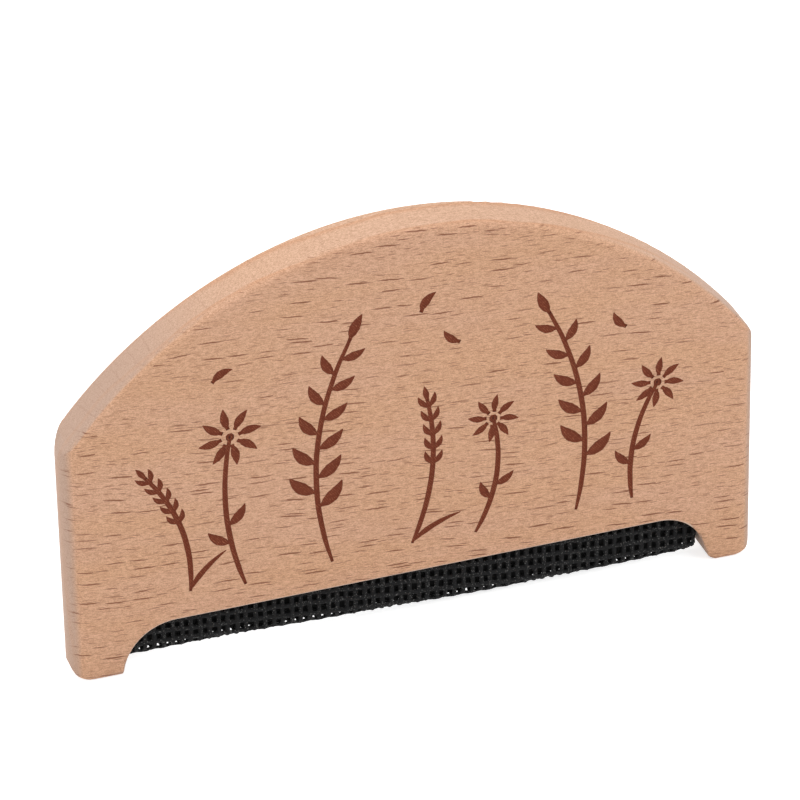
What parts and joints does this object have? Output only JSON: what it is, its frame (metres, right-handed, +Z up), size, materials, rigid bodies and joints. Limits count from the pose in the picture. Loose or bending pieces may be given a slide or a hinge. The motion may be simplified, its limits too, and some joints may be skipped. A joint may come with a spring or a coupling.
{
  "type": "garment comb",
  "caption": "Hand comb for knitwear: an arched wooden block with two feet and a folded strip of black mesh set in the notch between them.",
  "frame": {"origin": "on the plane that the two feet stand on, under the middle of the block", "axes": "+X along the block towards its right end, +Y through its thickness towards the back face, +Z up towards the arched top"},
  "size_m": [0.108, 0.008, 0.0665],
  "materials": {
    "beech": "fine sanded, unvarnished",
    "mesh": "stiff black plastic threads coated with fine grit",
    "core": "matt black",
    "glue": "hardened adhesive"
  },
  "bodies": {
    "root": {"wooden_body": "beech", "mesh_cross_threads": "mesh", "mesh_lengthwise_threads": "mesh", "core_strip": "core", "glue_bed": "glue"}
  },
  "joints": []
}
